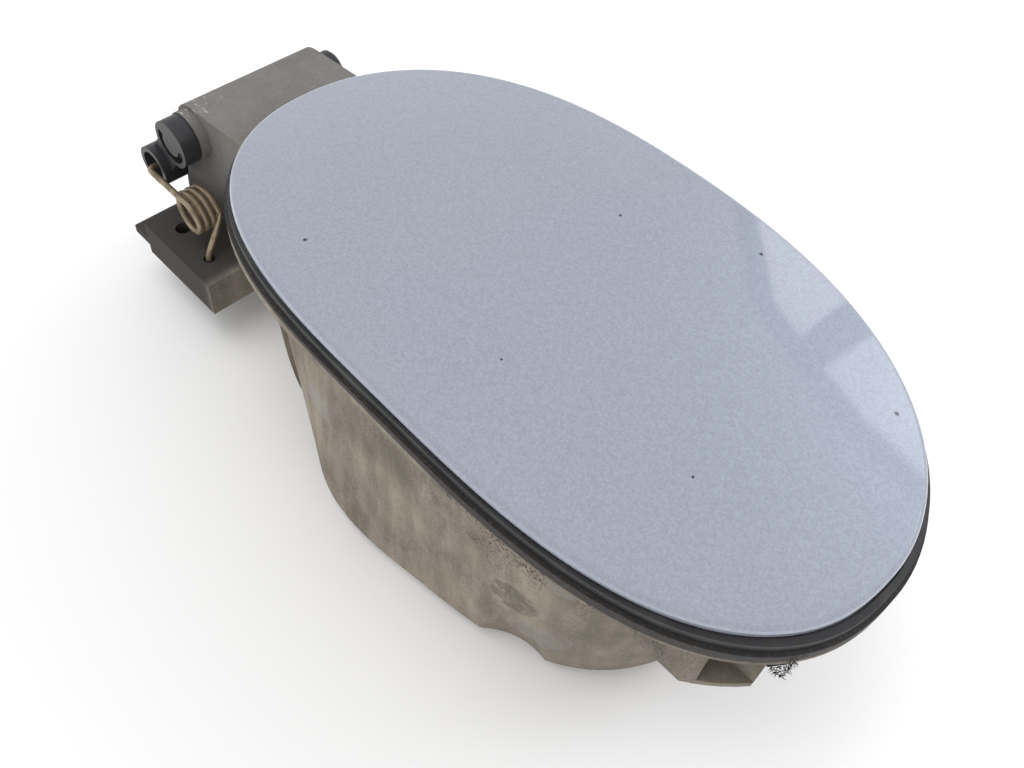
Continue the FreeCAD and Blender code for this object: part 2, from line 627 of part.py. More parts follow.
rim_gasket = feature("rim_gasket", seal.cut([over_seal, seal_in, swing]).Solids[0])

# Pocket: upright mouth over walls that lean in to a smaller base, with a valley in the near side


def pocket(inset, floor):
    """Solid of the pocket, drawn in by inset from the outside."""
    mouth_x = size("mouth_half_length") - inset
    mouth_y = size("mouth_half_width") - inset
    low = oval_points(mouth_x, mouth_y, size("mouth_low"))
    rounding = size("base_round") - inset
    sections = []
    for k in range(ROUND_STEPS + 1):
        angle = pi / 2 * k / ROUND_STEPS
        drawn = inset + rounding * (1 - sin(angle))
        share = rounding * (1 - cos(angle)) / (size("mouth_low") - floor)
        base = oval_points(size("base_half_length") - drawn, size("base_half_width") - drawn, floor,
                           size("base_power"), size("oval_power_wide"), size("base_shift"), size("base_egg"))
        sections.append(closed_curve([a + (b - a) * share for a, b in zip(base, low)]))
    foot = Part.makeLoft(sections, True)
    walls = Part.makeLoft([sections[-1], closed_curve(low)], True, True)
    mouth = Part.makeLoft([closed_curve(low), oval_wire(mouth_x, mouth_y, size("flap_top"))], True, True)
    valley = Part.makeCone(size("valley_radius") + inset, max(inset, 0.0) + 0.5, size("valley_height"),
                           Vec(size("valley_long"), -size("valley_wide"), 0))
    return walls.fuse([foot, mouth]).cut(valley)


under_flange = crowned(flange_drop + 0.5, 120.0)
bowl_out = pocket(0.0, 0.0).common(under_flange)
bowl_in = pocket(wall, size("pocket_floor"))
ridge_slab = Part.makeBox(size("ridge_gauge"), 200.0, size("mouth_low"))
ridge_slab.translate(Vec(size("ridge_long"), -100.0, 0))
ridge = pocket(-size("ridge_rise"), 0.0).common(ridge_slab)

# Hinge box: a round hood over the shaft, a roof to the flange and a flat-bottomed box below


def hinge_box(inset, right):
    """Solid of the hinge box, drawn in by inset, as far as x = right."""
    radius = size("hood_radius") - inset
    y0 = size("hinge_middle") - size("hinge_half_inside") - size("hinge_wall") + inset
    y1 = size("hinge_middle") + size("hinge_half_inside") + size("hinge_wall") - inset
    roof_x = size("box_roof_right")
    roof_z = crown_height(roof_x, 0, flange_drop) - size("box_roof_gap") - inset
    dx = roof_x - pivot.x
    dz = roof_z - pivot.z
    away = sqrt(dx * dx + dz * dz)
    lean = atan2(dz, dx) + atan2(sqrt(away ** 2 - radius ** 2), radius)
    touch = pivot + Vec(radius * cos(lean), 0, radius * sin(lean))
    low = size("box_low") + inset
    corners = [touch, Vec(roof_x, 0, roof_z), Vec(right, 0, roof_z), Vec(right, 0, low)]
    corners = corners + [Vec(size("box_left") + inset, 0, low), Vec(pivot.x - radius, 0, pivot.z), pivot]
    face = Part.Face(Part.makePolygon(corners + [corners[0]]))
    solid = face.extrude(ALONG_Y * (y1 - y0)).fuse(Part.makeCylinder(radius, y1 - y0, pivot, ALONG_Y))
    solid.translate(ALONG_Y * y0)
    return solid.removeSplitter()


box_out = hinge_box(0.0, size("box_right"))
box_in = hinge_box(size("hinge_wall"), size("box_right") + 16.0)
shell_out = feature("shell_out", bowl_out.fuse([flange, box_out, ridge]))
bowl_void = feature("bowl_void", bowl_in)
open_pocket = cut("open_pocket", shell_out, bowl_void)
open_hinge_box = cut("open_hinge_box", open_pocket, feature("hinge_void", box_in))
shell = cut("shell", open_hinge_box, feature("swing_void", swing))

near_boss = roller("near_boss", "boss_radius", "axis_long", "axis_up", near_wall + " - boss_reach", near_wall + " + 1")
far_boss = roller("far_boss", "far_boss_radius", "axis_long", "axis_up", far_wall + " - 1", far_wall + " + far_boss_reach")
bracket_block = box("bracket_block", "bracket_left", "bracket_right", "bracket_near", near_wall + " + 1",
                    "bracket_low", "bracket_top")
ear = box("ear", "ear_left", "bracket_left + bracket_wall", "bracket_near", near_wall + " + 1",
          "ear_top - ear_gauge", "ear_top")
cradle_reach = box("cradle_reach", "cradle_left", "cradle_right", "cradle_near", "cradle_far", "cradle_low", "flap_top")
cradle_gap = box("cradle_gap", "cradle_left - 1", "cradle_right + 1", "cradle_near + cradle_wall",
                 "cradle_far - cradle_wall", "cradle_low + cradle_wall", "flap_top + 1")
cradle_walls = cut("cradle_walls", cradle_reach, cradle_gap)
cradle_limit = feature("cradle_limit", crowned(flange_drop + 1.0, 60.0).common(oval_prism(flange_x - 1, flange_y - 1)))
cradle_trim = doc.addObject("Part::Common", "cradle_trim")
cradle_trim.Base = cradle_walls
cradle_trim.Tool = cradle_limit


def bolt_rod(name, radius, left, right):
    """Cylinder along X on the lock bolt's line."""
    thing = doc.addObject("Part::Cylinder", name)
    bind(thing, Radius=radius, Height="( %s ) - ( %s )" % (right, left))
    thing.Placement = FreeCAD.Placement(ORIGIN, FreeCAD.Rotation(ALONG_Y, 90))
    return place(thing, left, "bolt_wide", "bolt_up")


bolt_boss = bolt_rod("bolt_boss", "bolt_boss_radius", "bolt_boss_left", "bolt_boss_right")
latch_forms = cut("latch_forms", joined("latch_blocks", [bolt_boss, cradle_trim]), bowl_void)
neck_ring = post("neck_ring", "neck_ring_radius", "0", "0", "0", "neck_ring_height")
bracket_space = box("bracket_space", "bracket_left + bracket_wall", "bracket_right - bracket_wall",
                    "bracket_near + bracket_wall", near_wall, "bracket_low - 1", "bracket_top - bracket_wall")
screw_tower = post("screw_tower", "ear_hole_radius + bracket_wall", "ear_hole_long", "ear_hole_wide",
                   "bracket_low - 2", "bracket_top")
anchor_tower = post("anchor_tower", "wire_radius + anchor_play + bracket_wall", "anchor_long", "anchor_wide",
                    "bracket_top - anchor_hole_depth - 2", "bracket_top")
bracket_void = cut("bracket_void", bracket_space, joined("bracket_towers", [screw_tower, anchor_tower]))
bracket = cut("bracket", bracket_block, bracket_void)
moulding = joined("moulding", [shell, near_boss, far_boss, neck_ring, bracket, ear, latch_forms])
screw_hole = post("screw_hole", "ear_hole_radius", "ear_hole_long", "ear_hole_wide", "bracket_low - 1", "bracket_top + 1")
anchor_hole = post("anchor_hole", "wire_radius + anchor_play", "anchor_long", "anchor_wide",
                   "bracket_top - anchor_hole_depth", "bracket_top + 1")
shaft_bore = roller("shaft_bore", "shaft_radius + shaft_clearance", "axis_long", "axis_up", "-200", "200")
neck_hole = post("neck_hole", "neck_hole_radius", "0", "0", "-5", "40")
bolt_hole = bolt_rod("bolt_hole", "bolt_hole_radius", "bolt_boss_left - 10", "bolt_boss_right + 10")
bores = doc.addObject("Part::Compound", "bores")
bores.Links = [shaft_bore, neck_hole, screw_hole, anchor_hole, bolt_hole]
housing = cut("housing", moulding, bores)

# Felt block under the flange beside the cradle
felt_block = box("felt_block", "felt_left", "felt_right", "felt_near", "felt_far", "felt_low", "flap_top")
felt_edge = size("flange_lip") + size("felt_play")
felt_space = crowned(flange_drop + size("flange_gauge"), 60.0).common(oval_prism(flange_x - felt_edge, flange_y - felt_edge))
felt_limit = feature("felt_limit", felt_space)
felt_pad = doc.addObject("Part::Common", "felt_pad")
felt_pad.Base = felt_block
felt_pad.Tool = felt_limit

# Latch tongue under the inner panel
striker_block = box("striker_block", "striker_long - striker_gauge / 2", "striker_long + striker_gauge / 2",
                    "bolt_wide - striker_width / 2", "bolt_wide + striker_width / 2", "striker_low", "flap_top")
striker_limit = feature("striker_limit", crowned(slot_top + slot_gauge, 80.0).cut(plug))
striker_blank = doc.addObject("Part::Common", "striker_blank")
striker_blank.Base = striker_block
striker_blank.Tool = striker_limit
striker_hole = bolt_rod("striker_hole", "striker_hole_radius", "striker_long - striker_gauge", "striker_long + striker_gauge")
latch_striker = cut("latch_striker", striker_blank, striker_hole)

# Checks and export
doc.recompute()
PIECES = [housing, rim_gasket, neck_collar, felt_pad, over_centre_spring, flap_skin, flap_inner, hinge_arm,
          arm_screws, hinge_shaft, spring_lever, shaft_cap, latch_striker]
for thing in doc.Objects:
    if "Invalid" in thing.State or "Error" in thing.State:
        raise RuntimeError("object not built: " + thing.Name)
for piece in PIECES:
    if piece.Shape.isNull() or not piece.Shape.isValid():
        raise RuntimeError("shape not valid: " + piece.Label)
os.makedirs("parts", exist_ok=True)
for piece in PIECES:
    print(piece.Label, len(piece.Shape.Solids), "solids", round(piece.Shape.Volume), "mm3")
    piece.Shape.exportStep("parts/%s.step" % piece.Label)
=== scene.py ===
# %% [markdown]
# # A used fuel filler flap, from CAD frame to picture
#
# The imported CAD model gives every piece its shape, size and joint. This lesson adds what CAD leaves out:
# paint with flakes under a clear coat, road dust that has been wiped in places, frayed felt, a wound spring,
# and the light and camera of the photograph.

import bpy
import numpy as np
from mathutils import Matrix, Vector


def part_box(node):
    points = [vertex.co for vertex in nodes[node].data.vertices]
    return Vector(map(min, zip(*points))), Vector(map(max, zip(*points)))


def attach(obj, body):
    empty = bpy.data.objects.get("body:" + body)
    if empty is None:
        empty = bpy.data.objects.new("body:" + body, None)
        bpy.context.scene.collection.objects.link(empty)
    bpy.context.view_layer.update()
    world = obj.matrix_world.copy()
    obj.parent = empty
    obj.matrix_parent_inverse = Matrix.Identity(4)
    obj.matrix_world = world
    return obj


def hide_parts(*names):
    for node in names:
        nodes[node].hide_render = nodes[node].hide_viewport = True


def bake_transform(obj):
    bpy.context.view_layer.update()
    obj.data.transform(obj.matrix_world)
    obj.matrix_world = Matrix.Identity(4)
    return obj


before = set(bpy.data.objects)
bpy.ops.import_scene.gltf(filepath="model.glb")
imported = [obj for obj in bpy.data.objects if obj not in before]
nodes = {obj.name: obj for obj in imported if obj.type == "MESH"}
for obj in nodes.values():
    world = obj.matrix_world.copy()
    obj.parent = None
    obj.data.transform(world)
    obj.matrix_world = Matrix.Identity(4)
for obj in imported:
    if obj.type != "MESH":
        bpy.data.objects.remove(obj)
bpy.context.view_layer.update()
MM = 0.001
rng = np.random.default_rng(7)

# %% [markdown]
# ## Shader maths as plain formulas
#
# A node graph is hard to read, so a small class wraps a socket and turns `+ - * **` into Math nodes.
# A pattern is then one line of Python: `dust = noise * 0.6 + height * 0.4`.


# %% A small class for shader formulas
class Sym:
    """One value in a material's node graph."""

    def __init__(self, shader, socket):
        self.shader = shader
        self.socket = socket

    def math(self, op, other=0.0, swap=False):
        node = self.shader.add("ShaderNodeMath", operation=op)
        first, second = (other, self) if swap else (self, other)
        self.shader.put(node.inputs[0], first)
        self.shader.put(node.inputs[1], second)
        return Sym(self.shader, node.outputs[0])

    def __add__(self, other):
        return self.math("ADD", other)

    def __radd__(self, other):
        return self.math("ADD", other, True)

    def __sub__(self, other):
        return self.math("SUBTRACT", other)

    def __rsub__(self, other):
        return self.math("SUBTRACT", other, True)

    def __mul__(self, other):
        return self.math("MULTIPLY", other)

    def __pow__(self, other):
        return self.math("POWER", other)

    def low(self, other):
        return self.math("MINIMUM", other)

    def high(self, other):
        return self.math("MAXIMUM", other)

    def step(self, start, end):
        """Smooth rise from 0 at start to 1 at end; falls where start is the larger."""
        node = self.shader.add("ShaderNodeMapRange", interpolation_type="SMOOTHSTEP", clamp=True)
        self.shader.put(node.inputs[0], self)
        node.inputs[1].default_value = min(start, end)
        node.inputs[2].default_value = max(start, end)
        node.inputs[3].default_value = 0.0 if start < end else 1.0
        node.inputs[4].default_value = 1.0 if start < end else 0.0
        return Sym(self.shader, node.outputs[0])


class Shader:
    """One material; positions are millimetres in the row frame."""

    def __init__(self, name, obj=None):
        self.material = bpy.data.materials.new(name)
        self.material.use_nodes = True
        self.tree = self.material.node_tree
        self.bsdf = self.tree.nodes["Principled BSDF"]
        coords = self.add("ShaderNodeTexCoord")
        place = obj.matrix_world.translation if obj is not None else (0.0, 0.0, 0.0)
        shift = self.add("ShaderNodeVectorMath", operation="ADD")
        self.tree.links.new(coords.outputs["Object"], shift.inputs[0])
        shift.inputs[1].default_value = place
        scale = self.add("ShaderNodeVectorMath", operation="SCALE")
        self.tree.links.new(shift.outputs[0], scale.inputs[0])
        scale.inputs["Scale"].default_value = 1000.0
        self.where = scale.outputs[0]
        split = self.add("ShaderNodeSeparateXYZ")
        self.tree.links.new(self.where, split.inputs[0])
        self.x, self.y, self.z = [Sym(self, split.outputs[k]) for k in range(3)]

    def add(self, kind, **settings):
        node = self.tree.nodes.new(kind)
        for key, value in settings.items():
            setattr(node, key, value)
        return node

    def put(self, socket, value):
        if isinstance(value, Sym):
            self.tree.links.new(value.socket, socket)
        else:
            socket.default_value = value

    def vector(self, x, y, z):
        node = self.add("ShaderNodeCombineXYZ")
        for socket, value in zip(node.inputs, (x, y, z)):
            self.put(socket, value)
        return node.outputs[0]

    def noise(self, size, detail=4.0, rough=0.55, where=None, warp=0.0):
        """Cloudy pattern with blobs about `size` millimetres across, 0 to 1."""
        node = self.add("ShaderNodeTexNoise")
        self.tree.links.new(where or self.where, node.inputs["Vector"])
        node.inputs["Scale"].default_value = 1.0 / size
        node.inputs["Detail"].default_value = detail
        node.inputs["Roughness"].default_value = rough
        node.inputs["Distortion"].default_value = warp
        return Sym(self, node.outputs[0])

    def cells(self, size, output="Distance", where=None):
        """Cell pattern: distance to the nearest centre, or one random grey per cell."""
        node = self.add("ShaderNodeTexVoronoi")
        self.tree.links.new(where or self.where, node.inputs["Vector"])
        node.inputs["Scale"].default_value = 1.0 / size
        out = node.outputs[output]
        if output == "Color":
            split = self.add("ShaderNodeSeparateColor")
            self.tree.links.new(out, split.inputs[0])
            out = split.outputs[0]
        return Sym(self, out)

    def near(self, x, y, z, radius, soft=0.5):
        """1 inside a ball at a place in millimetres, fading to 0 at its radius."""
        dx, dy, dz = self.x - x, self.y - y, self.z - z
        far = (dx * dx + dy * dy + dz * dz) ** 0.5
        return far.step(radius, radius * (1.0 - soft))

    def mix(self, factor, first, second):
        """Blend two colours, each a tuple or an earlier mix."""
        node = self.add("ShaderNodeMix", data_type="RGBA")
        self.put(node.inputs[0], factor)
        for socket, value in ((node.inputs[6], first), (node.inputs[7], second)):
            if isinstance(value, Sym):
                self.tree.links.new(value.socket, socket)
            else:
                socket.default_value = (*value, 1.0)
        return Sym(self, node.outputs[2])

    def colour(self, value):
        if isinstance(value, Sym):
            self.tree.links.new(value.socket, self.bsdf.inputs["Base Color"])
        else:
            self.bsdf.inputs["Base Color"].default_value = (*value, 1.0)

    def set(self, name, value):
        self.put(self.bsdf.inputs[name], value)

    def bump(self, height, strength=0.4, distance=0.0002):
        node = self.add("ShaderNodeBump")
        node.inputs["Strength"].default_value = strength
        node.inputs["Distance"].default_value = distance
        self.put(node.inputs["Height"], height)
        self.tree.links.new(node.outputs[0], self.bsdf.inputs["Normal"])


def wear(obj, material):
    """Give an object one material."""
    obj.data.materials.clear()
    obj.data.materials.append(material)


# %% [markdown]
# ## Paint
#
# Metallic car paint is a pigment with bright flakes under a clear coat. Each Voronoi cell is one flake: its
# random grey shifts the colour a little. Stone chips are tiny dark spots; a faint grey film lies in broad
# clouds.

# %% Silver-blue paint
# Stone chips: x, y and radius in millimetres
CHIPS = [
    (-49.1, -39.9, 0.75),
    (-0.5, 25.1, 0.6),
    (32.2, 45.0, 0.7),
    (83.4, 33.4, 0.8),
    (12.0, -31.0, 0.45),
    (61.0, -20.0, 0.5),
]
PAINT_DARK, PAINT_LIGHT = (0.246, 0.270, 0.334), (0.420, 0.452, 0.536)
PRIMER = (0.03, 0.03, 0.035)
HAZE = (0.50, 0.50, 0.50)


def paint(name, obj, worn=True):
    s = Shader(name, obj)
    flakes = s.cells(0.45, "Color")
    coarse = s.noise(1.6, 2.0)
    shade = (flakes - 0.5) * 0.34 + (coarse - 0.5) * 0.18
    base = s.mix((shade + 0.5).low(1.0).high(0.0), PAINT_DARK, PAINT_LIGHT)
    if worn:
        marks = None
        for x, y, radius in CHIPS:
            dx, dy = s.x - x, s.y - y
            ragged = (s.noise(0.5, 2.0) - 0.5) * 0.5
            spot = ((dx * dx + dy * dy) ** 0.5 + ragged).step(radius, radius * 0.4)
            marks = spot if marks is None else marks.high(spot)
        base = s.mix(marks, base, PRIMER)
    film = s.noise(45.0, 5.0).step(0.45, 0.85) * 0.08
    base = s.mix(film, base, HAZE)
    s.colour(base)
    s.set("Metallic", 0.55)
    s.set("Roughness", (s.noise(30.0, 4.0) - 0.5) * 0.10 + 0.40)
    s.set("Coat Weight", 1.0)
    s.bsdf.inputs["Coat Roughness"].default_value = 0.06
    s.bump(s.noise(2.2, 2.0), 0.06, 0.00004)
    return s.material


wear(nodes["flap_skin"], paint("flap_paint", nodes["flap_skin"]))
wear(nodes["flap_inner"], paint("inner_paint", nodes["flap_inner"], False))

# %% [markdown]
# ## Dust on plastic
#
# The pocket is grey plastic under brown road dust. Three patterns make it: broad clouds of thicker and
# thinner dust, streaks that run down the wall, and dark grains that crowd under the rim at the latch end.
# Where a hand wiped it, the grey plastic shows. The flange under the rubber is clean and black, and its band
# follows the flap's crown: the height is measured from a paraboloid instead of from a plane.


# %% Dusty plastic
HALF_LONG, HALF_WIDE = 105.0, 57.0
CROWN_ALONG, CROWN_ACROSS = 13.0, 2.5
# Patches on the pocket: x, y, z and radius in millimetres
WIPED = [(-34.0, -54.0, 49.0, 9.0), (52.0, -50.0, 63.0, 8.0), (48.0, -46.0, 23.0, 11.0)]
SCUFFED = (40.0, -48.0, 40.0, 11.0)
SCRAPED = (-134.0, -19.0, 74.0, 10.0)
THIN_DUST = (0.122, 0.108, 0.091), (0.200, 0.179, 0.150)
THICK_DUST = (0.282, 0.240, 0.187), (0.390, 0.340, 0.272)
HOOD_GREY = (0.158, 0.157, 0.158)
BARE_GREY = (0.285, 0.275, 0.262)
GRIT = (0.045, 0.038, 0.030)
SCUFF_BROWN = (0.060, 0.052, 0.044)
BRACKET_SHADE = (0.040, 0.036, 0.033)
LATCH_END_SHADE = (0.100, 0.086, 0.070)
RAW_EDGE = (0.62, 0.60, 0.56)
RIM_BLACK = (0.017, 0.016, 0.016)


def dusty_plastic(name, obj):
    s = Shader(name, obj)
    cloud = s.noise(26.0, 6.0, 0.6)
    streak = s.noise(5.0, 4.0, 0.6, s.vector(s.x, s.y, s.z * 0.16))
    grain = s.noise(0.8, 3.0, 0.7)
    fine = s.noise(0.35, 2.0, 0.8)
    dust = (cloud * 0.45 + streak * 0.15 + grain * 0.30 + fine * 0.25).step(0.34, 0.76)
    wiped = s.near(*WIPED[0]).high(s.near(*WIPED[1])).high(s.near(*WIPED[2]))
    wiped = (wiped * 1.5 * s.noise(6.0, 5.0, 0.65)).step(0.35, 0.75)
    speck_zone = s.x.step(2.0, 30.0) * s.x.step(92.0, 70.0)
    speck_zone = speck_zone * s.z.step(44.0, 66.0) * s.y.step(-25.0, -40.0)
    specks = s.cells(0.85).step(0.60, 0.25) * s.noise(9.0, 4.0).step(0.36, 0.58)
    specks = specks * (speck_zone * 0.70 + 0.16)
    scuff = (s.near(*SCUFFED) * 1.6 * s.noise(3.0, 5.0, 0.7)).step(0.45, 0.85)
    hood = s.x.step(-100.0, -112.0)
    thin = s.mix(cloud.step(0.35, 0.7), *THIN_DUST)
    thick = s.mix(streak.step(0.3, 0.7), *THICK_DUST)
    base = s.mix(dust, thin, thick)
    base = s.mix(hood * 0.8, base, HOOD_GREY)
    base = s.mix(wiped * 0.50, base, BARE_GREY)
    base = s.mix(specks, base, GRIT)
    base = s.mix(scuff * 0.5, base, SCUFF_BROWN)
    # Painted shade: the bracket below the hinge hood is darkened almost to black.
    bracket = s.x.step(-102.0, -108.0) * s.z.step(46.0, 34.0)
    base = s.mix(bracket * 0.85, base, BRACKET_SHADE)
    # Painted shade: the pocket grows darker towards the latch end.
    base = s.mix(s.x.step(30.0, 75.0) * 0.40, base, LATCH_END_SHADE)
    scratch = s.noise(1.2, 3.0, 0.6, s.vector(s.x * 0.4, s.y * 2.0, s.z * 2.0))
    scrape = s.near(*SCRAPED) * scratch.step(0.60, 0.68)
    base = s.mix(scrape * 0.8, base, RAW_EDGE)
    dome = s.z + s.x * s.x * (CROWN_ALONG / HALF_LONG ** 2) + s.y * s.y * (CROWN_ACROSS / HALF_WIDE ** 2)
    band = (dome + s.x.step(-30.0, 60.0) * 1.6).step(88.3, 88.9) * s.x.step(-104.0, -101.0)
    base = s.mix(band * (0.95 - grain.step(0.55, 0.75) * 0.3), base, RIM_BLACK)
    s.colour(base)
    s.set("Roughness", 0.92 - wiped * 0.2 - band * 0.35)
    s.set("Specular IOR Level", 0.3)
    s.bump(grain * 0.6 + s.noise(2.6, 4.0) * 0.8 + specks * 0.5, 0.45, 0.0004)
    return s.material


wear(nodes["housing"], dusty_plastic("pocket_plastic", nodes["housing"]))


# %% [markdown]
# ## Black rubber, black plastic, felt and wire
#
# The dark pieces differ in gloss more than in colour, so each gets its own roughness and a thin film of dust.


# %% Dark materials and metals
FILM_DUST = (0.20, 0.185, 0.160)
BLUE_TINT = 1.15
WIRE_BROWN, WIRE_STAIN = (0.50, 0.42, 0.32), (0.30, 0.23, 0.16)
ZINC, ZINC_STAIN = (0.56, 0.55, 0.52), (0.36, 0.33, 0.28)


def dark(name, obj, tone, rough, dust_share):
    s = Shader(name, obj)
    clouds = s.noise(14.0, 5.0, 0.6).step(0.45, 0.80)
    grains = s.noise(0.9, 3.0, 0.7).step(0.62, 0.75)
    film = clouds * dust_share + grains * dust_share
    s.colour(s.mix(film.low(1.0), (tone, tone, tone * BLUE_TINT), FILM_DUST))
    s.set("Roughness", rough + film * 0.3)
    s.bump(s.noise(0.7, 3.0), 0.2, 0.0001)
    return s.material


def metal(name, obj, tone, rough, stain):
    s = Shader(name, obj)
    dull = s.noise(5.0, 5.0, 0.65).step(0.40, 0.75)
    s.colour(s.mix(dull, tone, stain))
    s.set("Metallic", 0.85 - dull * 0.5)
    s.set("Roughness", rough + dull * 0.25)
    s.bump(s.noise(0.6, 3.0), 0.15, 0.00005)
    return s.material


wear(nodes["rim_gasket"], dark("gasket_rubber", nodes["rim_gasket"], 0.016, 0.42, 0.20))
wear(nodes["neck_collar"], dark("collar_rubber", nodes["neck_collar"], 0.018, 0.55, 0.35))
wear(nodes["felt_pad"], dark("felt", nodes["felt_pad"], 0.010, 0.95, 0.10))
for name in ("hinge_arm", "spring_lever", "shaft_cap", "latch_striker"):
    wear(nodes[name], dark(name + "_plastic", nodes[name], 0.022, 0.45, 0.18))
plain_wire = metal("plain_wire", nodes["over_centre_spring"], WIRE_BROWN, 0.38, WIRE_STAIN)
wear(nodes["over_centre_spring"], plain_wire)
for name in ("arm_screws", "hinge_shaft"):
    wear(nodes[name], metal(name + "_zinc", nodes[name], ZINC, 0.35, ZINC_STAIN))

# %% [markdown]
# ## Wire and fibres
#
# A tube is swept along a curve: at each point of the curve a ring of vertices lies square to the path. The
# spring is one tube along a coil with two legs. On the real part the coil and its lower leg stay with the
# bracket and the upper leg follows the lever; here the spring is one fixed mesh, neither attached to a body
# nor blended between the two. The felt's loose fibres are many thin tubes.


# %% Tubes along curves
def smooth(points, steps):
    """Catmull-Rom curve through points."""
    pts = np.asarray(points, float)
    ends = np.vstack([2 * pts[0] - pts[1], pts, 2 * pts[-1] - pts[-2]])
    a, b, c, d = ends[:-3], ends[1:-2], ends[2:-1], ends[3:]
    t = np.linspace(0, 1, steps, endpoint=False)[None, :, None]
    a, b, c, d = [q[:, None, :] for q in (a, b, c, d)]
    square, cube = 2 * a - 5 * b + 4 * c - d, 3 * b - a - 3 * c + d
    curve = 0.5 * (2 * b + (c - a) * t + square * t ** 2 + cube * t ** 3)
    return np.vstack([curve.reshape(-1, 3), pts[-1]])


# A direction that no path here runs along, so that each ring can be squared to its path
GUIDE = (0.31, 0.17, 0.93)


def tube_mesh(path, radius, sides):
    """Vertices, side faces and end faces of a tube; radius may change along the path."""
    along = np.gradient(path, axis=0)
    along /= np.linalg.norm(along, axis=1, keepdims=True)
    side = np.cross(along, GUIDE)
    side /= np.linalg.norm(side, axis=1, keepdims=True)
    up = np.cross(along, side)
    turn = np.linspace(0, 2 * np.pi, sides, endpoint=False)
    width = np.broadcast_to(radius, len(path))[:, None, None]
    across, over = np.cos(turn)[None, :, None], np.sin(turn)[None, :, None]
    rings = path[:, None, :] + width * (across * side[:, None, :] + over * up[:, None, :])
    k, j = np.meshgrid(np.arange(len(path) - 1), np.arange(sides), indexing="ij")
    nxt = (j + 1) % sides
    here, ahead = k * sides, (k + 1) * sides
    quads = np.stack([here + j, here + nxt, ahead + nxt, ahead + j], -1).reshape(-1, 4)
    count = len(path) * sides
    first = np.arange(sides)
    second = (first + 1) % sides
    start = np.stack([np.full(sides, count), second, first], -1)
    last = np.stack([np.full(sides, count + 1), count - sides + first, count - sides + second], -1)
    verts = np.vstack([rings.reshape(-1, 3), path[0], path[-1]])
    return verts, quads, np.vstack([start, last])


def piece(name, parts, material):
    """One object from several tubes in millimetres."""
    verts, faces, count = [], [], 0
    for points, quads, caps in parts:
        verts.append(points)
        faces += (quads + count).tolist() + (caps + count).tolist()
        count += len(points)
    mesh = bpy.data.meshes.new(name)
    mesh.from_pydata((np.vstack(verts) * MM).tolist(), [], faces)
    mesh.polygons.foreach_set("use_smooth", np.ones(len(mesh.polygons), bool))
    obj = bpy.data.objects.new(name, mesh)
    bpy.context.scene.collection.objects.link(obj)
    wear(obj, material)
    return obj


# %% The over-centre spring
HINGE = np.array([-132.0, 2.0, 62.4])
LEVER_THROW, LEVER_ANGLE = 18.0, np.radians(-125.0)
EYE_FACE, RECESS = -33.7, 3.6
WIRE = 1.0
COIL = np.array([-121.5, 43.0])
COIL_RADIUS, COIL_NEAR, COIL_PITCH, COIL_TURNS = 6.6, -36.2, 2.6, 3.0
COIL_POINTS = 73
PIN_SHORT, LEG_GAP = 0.6, 0.8
FOOT_DEPTH = 5.4
ANCHOR = np.array([-114.0, -35.4, 28.0])
pin = HINGE[[0, 2]] + LEVER_THROW * np.array([np.cos(LEVER_ANGLE), np.sin(LEVER_ANGLE)])
leg_y = EYE_FACE - WIRE - LEG_GAP
reach = pin - COIL
far = np.hypot(*reach)
tangent = np.sqrt(far ** 2 - COIL_RADIUS ** 2)
take_off = np.arctan2(reach[1], reach[0]) - np.arctan2(tangent, COIL_RADIUS)
sweep = take_off + 2 * np.pi * COIL_TURNS
share = np.linspace(0, 1, COIL_POINTS)
angle = take_off - share * sweep
coil = np.column_stack([
    COIL[0] + COIL_RADIUS * np.cos(angle),
    COIL_NEAR + share * COIL_PITCH * COIL_TURNS,
    COIL[1] + COIL_RADIUS * np.sin(angle),
])
pin_end = np.array([pin[0], EYE_FACE + RECESS - PIN_SHORT, pin[1]])
pin_bend = np.array([pin[0], leg_y, pin[1]])
toward = (coil[0] - pin_bend) / np.linalg.norm(coil[0] - pin_bend)
upper = [
    pin_end,
    pin_bend + [0, 2.2, 0],
    pin_bend + [0, 0.65, 0] + toward * 0.65,
    pin_bend + toward * 2.2,
    pin_bend + (coil[0] - pin_bend) * 0.55,
]
lower = [
    coil[-1] + (ANCHOR - coil[-1]) * 0.45,
    ANCHOR + [0, 0, 1.0],
    ANCHOR - [0, 0, FOOT_DEPTH],
]
spring_path = smooth(np.vstack([upper, coil, lower]), 4)
OLD_WIRE, OLD_WIRE_STAIN = (0.36, 0.29, 0.20), (0.17, 0.125, 0.08)
WIRE_SIDES = 12
spring_look = metal("spring_wire", nodes["housing"], OLD_WIRE, 0.42, OLD_WIRE_STAIN)
spring = piece("spring", [tube_mesh(spring_path, WIRE, WIRE_SIDES)], spring_look)
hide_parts("over_centre_spring")
coil_edge = np.array([COIL[0], leg_y, COIL[1]])
coil_edge += (pin_bend - coil_edge) * (COIL_RADIUS / far)
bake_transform(spring)

# %% Loose felt fibres
FIBRES, FIBRE_SIDES = 600, 4
FIBRE_ROOT, FIBRE_TIP = 0.09, 0.03
felt_low, felt_high = [np.array(c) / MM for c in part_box("felt_pad")]
fibres = []
for _ in range(FIBRES):
    root = felt_low + rng.random(3) * (felt_high - felt_low)
    face = rng.integers(0, 3)
    root[face] = (felt_high if rng.random() < 0.5 and face != 2 else felt_low)[face]
    way = rng.normal(size=3)
    way[face] = np.sign(root[face] - (felt_low + felt_high)[face] / 2) * abs(way[face]) * 1.5
    way *= rng.uniform(0.4, 1.3) / np.linalg.norm(way)
    curl = rng.normal(size=3) * 0.35
    path = smooth([root - way * 0.3, root + way * 0.5 + curl * 0.4, root + way + curl], 4)
    fibres.append(tube_mesh(path, np.linspace(FIBRE_ROOT, FIBRE_TIP, len(path)), FIBRE_SIDES))
fuzz = piece("felt_fibres", fibres, dark("fibre", nodes["housing"], 0.012, 0.95, 0.05))
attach(fuzz, "housing")

